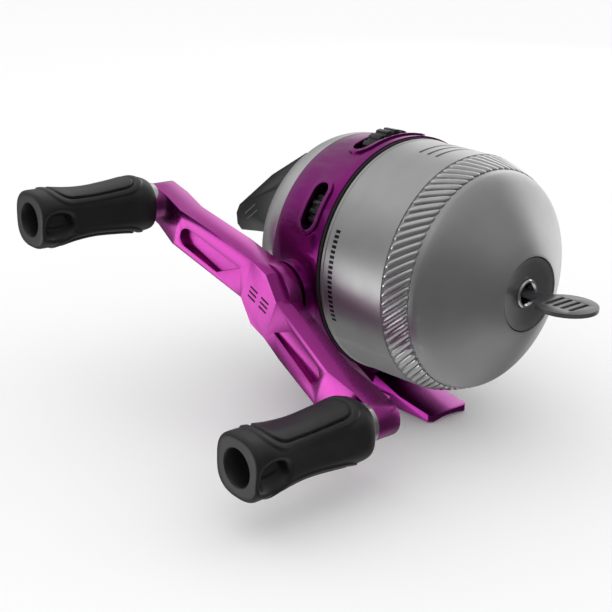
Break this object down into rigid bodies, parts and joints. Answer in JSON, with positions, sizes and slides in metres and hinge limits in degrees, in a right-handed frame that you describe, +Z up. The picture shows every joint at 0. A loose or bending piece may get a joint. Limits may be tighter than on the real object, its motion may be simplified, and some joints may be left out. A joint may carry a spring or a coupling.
{
  "type": "spincast fishing reel",
  "caption": "Closed-face spincast fishing reel: domed silver front cover with a grip band, magenta body and foot, double handle with soft knobs, thumb button at the rear.",
  "frame": {"origin": "middle of the foot's flat underside, straight below the crank axis", "axes": "+X points away from the handle, +Y to the rear towards the thumb button, +Z up from the rod towards the reel's top"},
  "size_m": [0.1217, 0.1271, 0.0771],
  "materials": {
    "anodised_magenta": "gloss anodised magenta over turned and die-cast metal",
    "satin_silver": "satin silver",
    "polished_silver": "polished bright",
    "black_gloss": "semi-gloss black",
    "black_soft": "soft-touch black with leather-grain pads",
    "black_rubber": "matt black",
    "nose_dark": "dark grey satin",
    "keeper_smoke": "dark smoke-grey plastic",
    "steel": "bright machined steel",
    "brass_gear": "cut brass",
    "zinc": "die-cast zinc, matt",
    "bearing_bronze": "sintered bronze",
    "spool_plastic": "matt black moulding",
    "line_mono": "clear monofilament",
    "fibre": "pressed fibre"
  },
  "bodies": {
    "frame": {"body_frame": "anodised_magenta", "front_seal": "black_rubber", "pinion_bushing": "bearing_bronze", "crank_bushing_near": "bearing_bronze", "crank_bushing_far": "bearing_bronze", "side_cap": "black_gloss", "back_cover": "satin_silver", "back_cover_screws": "steel", "button_pin": "steel", "pawl_pin": "steel", "drag_washer": "fibre", "spring_washer": "steel", "spool_clip": "steel"},
    "cover": {"front_cover": "satin_silver", "nose_insert": "nose_dark", "line_guide": "polished_silver"},
    "keeper": {"line_keeper": "keeper_smoke"},
    "button": {"thumb_button": "black_gloss"},
    "crank": {"crank_shaft": "steel", "drive_gear": "brass_gear", "gear_clip": "steel", "ratchet_wheel": "steel", "handle_arm": "anodised_magenta", "handle_screw": "steel", "knob_spindle_near": "steel", "knob_spindle_far": "steel", "knob_collar_near": "polished_silver", "knob_collar_far": "polished_silver"},
    "near_grip": {"knob_near": "black_soft"},
    "far_grip": {"knob_far": "black_soft"},
    "pinion": {"pinion_gear": "brass_gear", "shaft_spring": "steel"},
    "shaft": {"centre_shaft": "steel", "shaft_collar": "steel", "spinner_head": "zinc", "snub_ring": "black_rubber", "head_nut": "steel"},
    "pickup": {"pickup_pin": "polished_silver"},
    "spool_body": {"spool": "spool_plastic", "wound_line": "line_mono", "click_ring": "spool_plastic"},
    "drag": {"drag_wheel": "black_gloss", "drag_screw": "steel"},
    "shoe": {"drag_shoe": "fibre"},
    "alert": {"alert_wheel": "black_gloss", "alert_spindle": "steel", "alert_tongue": "steel"},
    "pawl_body": {"pawl": "steel"}
  },
  "joints": [
    {"name": "cover_twist", "type": "hinge", "parent": "frame", "child": "cover", "pos_m": [0, -0.00975, 0.0423], "axis": [0, 1, 0], "range_deg": [0, 20]},
    {"name": "keeper_pull", "type": "slide", "parent": "cover", "child": "keeper", "axis": [0, -1, 0], "range_m": [0, 0.03]},
    {"name": "button_press", "type": "hinge", "parent": "frame", "child": "button", "pos_m": [0, 0.0198, 0.0629], "axis": [-1, 0, 0], "range_deg": [0, 8]},
    {"name": "crank_spin", "type": "hinge", "parent": "frame", "child": "crank", "pos_m": [0, 0, 0.03525], "axis": [1, 0, 0], "continuous": true},
    {"name": "near_grip_spin", "type": "hinge", "parent": "crank", "child": "near_grip", "pos_m": [-0.069, -0.04526, 0.01693], "axis": [-1, 0, 0], "continuous": true},
    {"name": "far_grip_spin", "type": "hinge", "parent": "crank", "child": "far_grip", "pos_m": [-0.069, 0.04526, 0.05357], "axis": [-1, 0, 0], "continuous": true},
    {"name": "pinion_spin", "type": "hinge", "parent": "frame", "child": "pinion", "pos_m": [0, -0.02, 0.0423], "axis": [0, 1, 0], "continuous": true},
    {"name": "shaft_slide", "type": "slide", "parent": "pinion", "child": "shaft", "axis": [0, -1, 0], "range_m": [0, 0.003], "stiffness_N_per_m": 300, "springref_m": -0.0015, "deforming": ["shaft_spring"]},
    {"name": "pickup_slide", "type": "slide", "parent": "shaft", "child": "pickup", "axis": [0, 0, -1], "range_m": [0, 0.0019]},
    {"name": "spool_spin", "type": "hinge", "parent": "frame", "child": "spool_body", "pos_m": [0, -0.026, 0.0423], "axis": [0, 1, 0], "continuous": true},
    {"name": "drag_turn", "type": "hinge", "parent": "frame", "child": "drag", "pos_m": [-0.00167, -0.00275, 0.06612], "axis": [0, 1, 0], "range_deg": [0, 180]},
    {"name": "shoe_slide", "type": "slide", "parent": "frame", "child": "shoe", "axis": [0, -1, 0], "range_m": [0, 0.00035]},
    {"name": "alert_turn", "type": "hinge", "parent": "frame", "child": "alert", "pos_m": [-0.02268, -0.00275, 0.05566], "axis": [0, -1, 0], "range_deg": [0, 40]},
    {"name": "pawl_lift", "type": "hinge", "parent": "frame", "child": "pawl_body", "pos_m": [0.0059, -0.00957, 0.02344], "axis": [1, 0, 0], "range_deg": [0, 12], "stiffness_Nm_per_rad": 0.002}
  ],
  "couplings": [
    {"joint": "pinion_spin", "follows": "crank_spin", "ratio": -3.6},
    {"joint": "button_press", "follows": "shaft_slide", "rad_per_m": 46.51},
    {"joint": "pickup_slide", "follows": "shaft_slide", "ratio": 0.59535},
    {"joint": "shoe_slide", "follows": "drag_turn", "m_per_rad": 0.0001}
  ]
}
